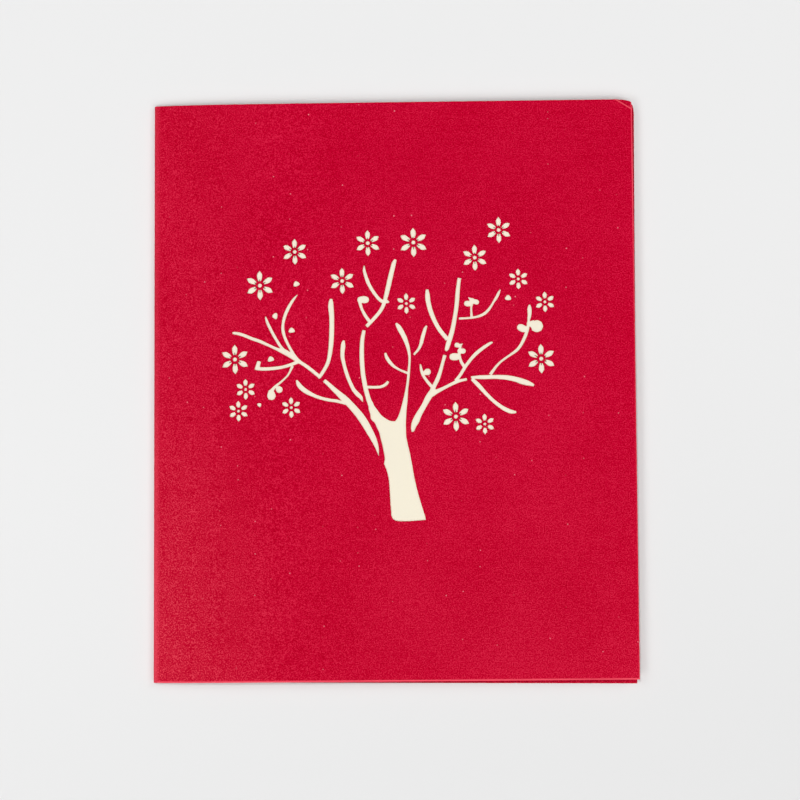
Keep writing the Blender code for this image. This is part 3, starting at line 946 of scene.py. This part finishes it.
def red_card(name):
    """The cover's finish: its tones, then the painted sheen, the pale fold, specks, and the pale edges and
    crease, which are partly wear and partly painted highlight.
    """
    material, tree, place = new_finish(name)
    x, y, z = tree.parts(place)
    noises = red_noises(tree, place)
    mottle, _, cloud, streak = noises
    colour, sheen_tone = red_tones(tree, noises)
    low = tree.fade(y, hinge.y + sheen_up, hinge.y)
    sheen = painted_sheen_on(tree, x, low, mottle, cloud)
    # Painted sheen towards the lower left
    colour = tree.mix((sheen * sheen_strength).least(1.0), colour, sheen_tone)
    # The fold's pale crown: rubbed wear and a painted highlight
    colour = tree.mix(fold_wear_and_highlight(tree, x, y, low), colour, wear_and_highlight_red)
    colour = tree.mix(specks(tree, place, sheen), colour, speck_pink)
    on_front = z > spine_thickness
    # Pale bands along the lower edge and fore-edge: wear and a painted highlight
    colour = tree.mix((edge_wear_and_highlight(tree, place, x, y) * on_front).least(1.0), colour, wear_and_highlight_red)
    # Pale line along the crease: bared fibres and a painted highlight
    colour = tree.mix(crease(tree, x, y) * on_front, colour, wear_and_highlight_red)

    # Gloss and relief
    fine = grain(tree, place, fine_cells, fine_detail, fine_rough)
    height = mottle * mottle_relief + fine * fine_relief + streak * streak_relief
    end_finish(tree, {
        "Base Color": colour,
        "Roughness": card_rough + (mottle - noise_middle) * mottle_rough,
        "Specular IOR Level": card_gloss,
        "Specular Tint": (*pearl_glint, 1),
        "Normal": relief(tree, *card_relief, height),
    })
    return material


red = red_card("pearly_red_card")
print("nodes of the red card:", len(red.node_tree.nodes))

# %% [markdown]
# ## Cut edge
#
# The openings are cut by heat or a fine blade. The wall that is left is thin, a little browned and duller
# than the face. It has a finish of its own, which the folding tree puts on every wall of the flat slab.

# %% Cut edge of the card
fibre_cells, singe_cells = 2400.0, 300.0
singe_weight, fibre_weight = 0.7, 0.5
edge_relief = (0.4, 0.03 * mm)


def cut_edge(name, pale, brown):
    """Fibres laid bare by a cut, browned in patches."""
    material, tree, place = new_finish(name)
    fibre = grain(tree, place, fibre_cells, detail=3.0, rough=0.7)
    singe = grain(tree, place, singe_cells)
    browned = (singe * singe_weight + fibre * fibre_weight).least(1.0)
    end_finish(tree, {
        "Base Color": tree.mix(browned, pale, brown),
        "Roughness": 0.85,
        "Specular IOR Level": 0.1,
        "Normal": relief(tree, *edge_relief, fibre),
    })
    return material


red_cut = cut_edge("red_cut_edge", (0.56, 0.13, 0.08), (0.30, 0.07, 0.04))
print("edge finish:", red_cut.name)

# %% [markdown]
# ## Cream paper
#
# The liner and the pop-up trees are a warm white paper. It is very even, with short fibres that only show
# close up. The fibres are a noise drawn out in two directions, strong in the relief and faint in the colour.

# %% Cream paper
fibre_long, fibre_short = 500.0, 2200.0
paper_cloud_cells = 60.0
fibre_tone, cloud_tone = 0.5, 0.5
shaded_share = 0.965
cream_places = (0.25, 0.65)
paper_relief = (0.25, 0.04 * mm)


def cream_paper(name, tone):
    """Even paper with short fibres both ways."""
    material, tree, place = new_finish(name)
    along = drawn_grain(tree, place, (fibre_long, fibre_short), detail=3.0, rough=0.6)
    up = drawn_grain(tree, place, (fibre_short, fibre_long), detail=3.0, rough=0.6)
    cloud = grain(tree, place, paper_cloud_cells)
    fibre = (along + up) / 2
    fibres, clouds = (fibre - noise_middle) * fibre_tone, (cloud - noise_middle) * cloud_tone
    shade = fibres + clouds + noise_middle
    darker = tuple(part * shaded_share for part in tone)
    end_finish(tree, {
        "Base Color": tree.ramp(shade, *zip(cream_places, (darker, tone))),
        "Roughness": 0.78,
        "Specular IOR Level": 0.2,
        "Normal": relief(tree, *paper_relief, fibre),
    })
    return material


cream_liner = cream_paper("cream_liner", (0.915, 0.850, 0.692))
cream_popup = cream_paper("cream_popup", (0.905, 0.845, 0.700))
print("papers:", cream_liner.name, cream_popup.name)

# %% [markdown]
# ## The cover
#
# The cover is made in the order of a workshop. Its blank is cut with all its openings, it gets its thickness,
# and then it is folded and finished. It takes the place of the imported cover.

# %% Cover
cover = flat_blank("card_cover", [cover_outline(), *openings], cover_cuts)
thicken(cover, cover_thickness)
fold_up(cover, 0.0, red, red_cut, True)
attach(cover, "root")
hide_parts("cover")
print("cover triangles:", triangles(cover))

# %% [markdown]
# ## Scorched stubs in the petals
#
# Each petal was held by a tiny bridge until its waste was pushed out. In the large and medium blossoms a
# stub of it is left at the petal's inner end, scorched brown. Such a petal is told by how far it lies from
# its blossom's middle, between near_petal and far_petal.
#
# So many stubs of one shape are work for Geometry Nodes. The mesh that goes in has one point for each stub,
# with the way it points and its size, and a tapered stub is put on every point. The folding tree then
# carries them into place with the cover.

# %% Where the stubs sit
near_petal, far_petal = 2.30 * mm, 3.4 * mm


def stub_places():
    """Where each stub starts, which way it points and how large it is."""
    found = []
    for hole in holes:
        for loop, (middle, reach) in zip(openings, spots):
            away = np.linalg.norm(middle - hole)
            if near_petal < away < far_petal and hole_reach < reach < near_petal:
                way = (middle - hole) / away
                start = ((loop - hole) @ way).min()
                found.append((hole + way * start, math.atan2(way[1], way[0]), away / far_petal))
    return found


stubs = stub_places()
print("stubs:", len(stubs))

# %% The stub tree
stub_sizes = (("Length", 0.86 * mm), ("Width", 0.36 * mm), ("Thickness", 0.18 * mm), ("Unevenness", 0.35))
stub_sides, stub_rings, stub_seed = 10, 2, 4
stub_tip, stub_foot = 0.22, 0.5


def unit_stub(tree):
    """A tapered stub, one unit long and wide, that stands on its foot."""
    return tree.add("GeometryNodeMeshCone", {"fill_type": "NGON"}, {
        "Vertices": stub_sides,
        "Side Segments": stub_rings,
        "Radius Top": stub_tip,
        "Radius Bottom": stub_foot,
        "Depth": 1.0,
    })


def stub_tree():
    group = new_group("scorched_stubs", stub_sizes, ("Finish",))
    tree = Tree(group)
    given = tree.add("NodeGroupInput")
    size = {name: tree.output(given, name) for name, _ in stub_sizes}
    shape = tree.add("ShaderNodeCombineXYZ", {}, {
        0: size["Thickness"],
        1: size["Width"],
        2: size["Length"],
    })
    stub = tree.add("GeometryNodeTransform", {}, {"Geometry": unit_stub(tree), "Scale": shape})
    lying = (0.0, quarter_turn, 0.0)
    laid = tree.add("GeometryNodeTransform", {}, {"Geometry": stub, "Rotation": lying})
    kind = "GeometryNodeInputNamedAttribute"
    way, large = (tree.add(kind, {"data_type": "FLOAT"}, {"Name": name}) for name in ("way", "large"))
    limits = {2: 1 - size["Unevenness"], 3: size["Unevenness"] + 1, "Seed": stub_seed}
    stretch = tree.add("FunctionNodeRandomValue", {"data_type": "FLOAT"}, limits, output=1)
    placed = tree.add("GeometryNodeInstanceOnPoints", {}, {
        "Points": tree.output(given, "Geometry"),
        "Instance": laid,
        "Rotation": tree.add("ShaderNodeCombineXYZ", {}, {2: way}),
        "Scale": tree.add("ShaderNodeCombineXYZ", {}, {0: stretch * large, 1: large, 2: 1.0}),
    })
    real = tree.add("GeometryNodeRealizeInstances", {}, {"Geometry": placed})
    finish = tree.output(given, "Finish")
    finished = tree.add("GeometryNodeSetMaterial", {}, {"Geometry": real, "Material": finish})
    tree.add("NodeGroupOutput", {}, {0: finished})
    return group


stubbing = stub_tree()
print("stub tree nodes:", len(stubbing.nodes))

# %% Stubs
stub_depth_share = 0.6
stub_depth = cover_thickness * stub_depth_share
scorched = cut_edge("scorched_stub", (0.340, 0.165, 0.040), (0.140, 0.066, 0.016))
places, ways, scales = zip(*stubs)
points = bpy.data.meshes.new("card_stubs")
points.from_pydata([(*place, stub_depth) for place in places], [], [])
points.attributes.new("way", "FLOAT", "POINT").data.foreach_set("value", ways)
points.attributes.new("large", "FLOAT", "POINT").data.foreach_set("value", scales)
stub_piece = bpy.data.objects.new("card_stubs", points)
bpy.context.scene.collection.objects.link(stub_piece)
growth = stub_piece.modifiers.new("stubs", "NODES")
growth.node_group = stubbing
set_input(growth, "Finish", scorched)
fold_up(stub_piece, 0.0, scorched, scorched, True)
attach(stub_piece, "root")
print("stub triangles:", triangles(stub_piece))

# %% [markdown]
# ## The liner
#
# The liner is the same fold, one sheet deeper and cut a little smaller, so that it never shows at the edges.
# It is glued to the cover, so here it lies close under it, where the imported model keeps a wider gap.

# %% Liner
glue_thickness = 0.04 * mm
liner_deep = cover_thickness + glue_thickness
liner_reach = page_width - liner_inset - spine_middle + half_arc(liner_deep)
liner_low, liner_high = liner_inset, page_height - liner_inset
liner_outline = [
    (-liner_reach, liner_low),
    (liner_reach, liner_low),
    (liner_reach, liner_high),
    (-liner_reach, liner_high),
]
liner = flat_blank("card_liner", [liner_outline], bend_cuts(liner_deep, liner_low, liner_high))
thicken(liner, liner_thickness)
fold_up(liner, liner_deep, cream_liner, cream_liner, False)
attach(liner, "root")
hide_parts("liner")
print("liner triangles:", triangles(liner))

# %% [markdown]
# ## The pop-up trees
#
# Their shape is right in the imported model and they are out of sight, so they only get their paper.

# %% Pop-up trees
popup_trees = ("popup_tree_back", "popup_tree_middle", "popup_tree_front")
for name in popup_trees:
    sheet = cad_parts[name]
    sheet.data.materials.clear()
    sheet.data.materials.append(cream_popup)
print("pop-up trees finished:", len(popup_trees))

# %% [markdown]
# ## Table
#
# The card lies on a plain pale table. Its colour carries a painted shade, a touch darker towards its front and
# right, as if the light fell off there. A fade between two near whites does that.

# %% Table
table_size = 3.0
table_gap = 0.02 * mm
table_white = (0.850, 0.850, 0.850)
table_shade = (0.790, 0.790, 0.790)
shade_slope, shade_start, shade_end = 0.35, -0.04, 0.22


def pale_table(name):
    material, tree, place = new_finish(name)
    x, y, _ = tree.parts(place)
    # Painted shade towards the front and right
    toward_corner = tree.fade(x * shade_slope - y, shade_start, shade_end)
    colour = tree.mix(toward_corner, table_white, table_shade)
    end_finish(tree, {"Base Color": colour, "Roughness": 0.9, "Specular IOR Level": 0.1})
    return material


bpy.ops.mesh.primitive_plane_add(size=table_size, location=(0, 0, -table_gap))
table = bpy.context.object
table.name = "table_top"
table.data.materials.append(pale_table("pale_table"))
print("table laid")

# %% [markdown]
# ## Light
#
# The card is lit from all sides, so that it has only a faint narrow shadow along each edge. Six soft lights
# stand round it, each turned to the card. A light that stands high throws a short shadow, and a low one
# throws a long faint one, so each has its own lean from straight above. What matters is how bright each one
# makes a white sheet on the table, as a share of full white, so its power is worked out from that share.
#
# The room adds a little: it is pale near the horizon and dim above. Colours are shown as they are.

# %% Soft lights
light_away = 3.0

# Name, turn round the card, lean from straight above and spread in degrees, share of full white
lights = (
    ("high_back", 128, 15, 5, 0.244),
    ("high_front", -90, 17, 16, 0.236),
    ("front_left", -142, 38, 24, 0.182),
    ("front_right", -48, 43, 26, 0.154),
    ("back_left", 150, 38, 22, 0.090),
    ("back_right", 35, 46, 26, 0.107),
)


def soft_light(name, turn, lean, spread, share):
    """A square light that faces the card and makes a white sheet there as bright as its share."""
    way, down = math.radians(turn), math.radians(lean)
    out = light_away * math.sin(down)
    place = (out * math.cos(way), out * math.sin(way), light_away * math.cos(down))
    lamp = bpy.data.lights.new(name, "AREA")
    lamp.size = 2 * light_away * math.tan(math.radians(spread) / 2)
    lamp.energy = share * math.pi ** 2 * light_away ** 2 / math.cos(down)
    holder = bpy.data.objects.new(name, lamp)
    bpy.context.scene.collection.objects.link(holder)
    holder.location = place
    holder.rotation_euler = (-Vector(place)).to_track_quat("-Z", "Y").to_euler()


for light in lights:
    soft_light(*light)
print("a white sheet under the lights, full white being 1:", round(sum(light[-1] for light in lights), 3))

# %% The room
wall_top, wall_foot = 0.25, 0.05
ceiling_glow, wall_glow = 0.03, 0.70
world = bpy.data.worlds.new("studio")
world.use_nodes = True
room = Tree(world.node_tree)
_, _, height = room.parts(room.output(room.add("ShaderNodeTexCoord"), "Generated"))
glow = room.add("ShaderNodeBackground", {}, {
    "Color": (1.0, 1.0, 1.0, 1),
    "Strength": ceiling_glow + room.fade(height, wall_top, wall_foot) * wall_glow,
})
room.add("ShaderNodeOutputWorld", {}, {"Surface": glow})
bpy.context.scene.world = world
bpy.context.scene.view_settings.view_transform = "Standard"
print("room nodes:", len(room.tree.nodes))

# %% [markdown]
# ## Camera
#
# The camera looks down from about 0.6 m above the lower half of the card, through a long lens. Its place
# and tilt were fitted to the card's four corners, to the line of the fold and to the tree.

# %% Camera
eye = hinge + Vector((85.389, 57.989, 590.27)) * mm
tilt_degrees = (2.904, 0.869, 0.038)
lens = bpy.data.cameras.new("camera")
lens.lens = 85.0
lens.sensor_width = 36.0
lens.clip_start = 0.01
camera = bpy.data.objects.new("camera", lens)
camera.location = eye
camera.rotation_euler = Euler([math.radians(part) for part in tilt_degrees])
bpy.context.scene.collection.objects.link(camera)
bpy.context.scene.camera = camera
print("camera height, mm:", round(eye.z / mm, 1))
